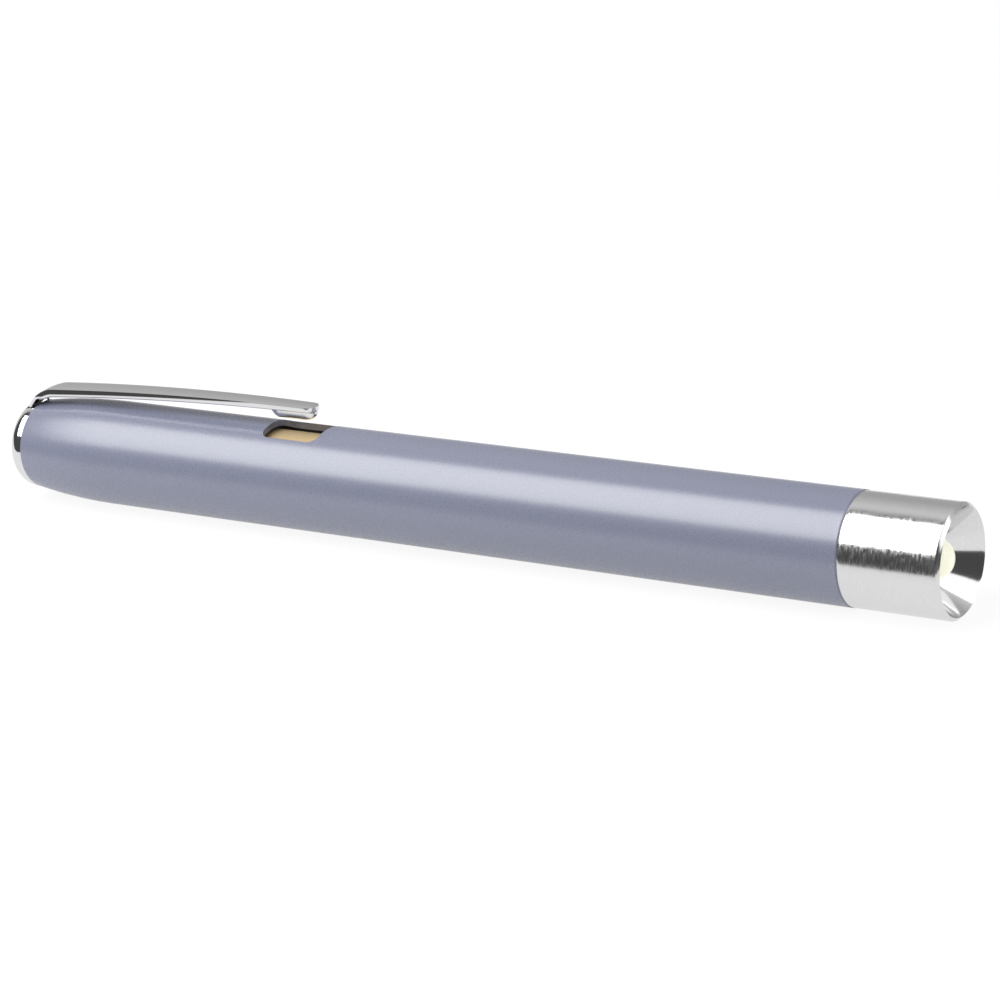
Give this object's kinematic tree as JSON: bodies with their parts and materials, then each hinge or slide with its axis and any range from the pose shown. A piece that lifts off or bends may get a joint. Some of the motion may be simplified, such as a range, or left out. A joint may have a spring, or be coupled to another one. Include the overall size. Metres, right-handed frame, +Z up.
{
  "type": "penlight",
  "caption": "Slim metal penlight with a conical reflector head, a tapered tail and a sprung pocket clip that switches it on through a window in the barrel.",
  "frame": {"origin": "middle of the penlight's length, on the barrel's lowest line, which lies on the surface", "axes": "+X along the barrel towards the lamp, +Z up through the pocket clip, +Y across"},
  "size_m": [0.1326, 0.0134, 0.0165],
  "materials": {
    "anodised": "satin blue-grey anodising",
    "chrome": "polished plating",
    "white_plastic": "moulded",
    "black_plastic": "drawn tube",
    "brass": "rolled sheet",
    "spring_wire": "drawn wire",
    "turned_metal": "fine turned, polished reflector",
    "led_resin": "clear cast resin",
    "tinned_lead": "bright tin",
    "phosphor": "yellow phosphor gel",
    "board": "lacquered glass-fibre board",
    "chip": "glazed chip",
    "cell_metal": "plated can",
    "cell_jacket": "plain film sleeve",
    "cell_washer": "black card washer"
  },
  "bodies": {
    "body": {"body_tube": "anodised", "tail_cap": "chrome", "clip_root": "chrome", "tail_insulator": "white_plastic", "contact_strip": "brass", "tail_spring": "spring_wire", "barrel_liner": "black_plastic"},
    "clip": {"clip_arm": "chrome", "clip_foot": "chrome"},
    "cells": {"rear_cell_can": "cell_metal", "rear_cell_jacket": "cell_jacket", "rear_cell_washer": "cell_washer", "rear_cell_terminal": "tinned_lead", "front_cell_can": "cell_metal", "front_cell_jacket": "cell_jacket", "front_cell_washer": "cell_washer", "front_cell_terminal": "tinned_lead"},
    "head": {"head_shell": "turned_metal", "led_lens": "led_resin", "led_cathode": "tinned_lead", "led_anode": "tinned_lead", "led_phosphor": "phosphor", "led_holder": "white_plastic", "lamp_board": "board", "resistor": "chip", "centre_contact": "brass", "retaining_ring": "turned_metal"}
  },
  "joints": [
    {"name": "clip_press", "type": "hinge", "parent": "body", "child": "clip", "pos_m": [-0.06073, 0, 0.01488], "axis": [0, 1, 0], "range_deg": [-4, 3], "stiffness_Nm_per_rad": 1.5},
    {"name": "head_travel", "type": "slide", "parent": "body", "child": "cells", "axis": [1, 0, 0], "range_m": [0, 0.006], "deforming": ["tail_spring"]},
    {"name": "head_turn", "type": "hinge", "parent": "cells", "child": "head", "pos_m": [0.05408, 0, 0.00675], "axis": [1, 0, 0], "range_deg": [0, 2160]}
  ],
  "couplings": [
    {"joint": "head_turn", "follows": "head_travel", "rad_per_m": 6283.2}
  ]
}
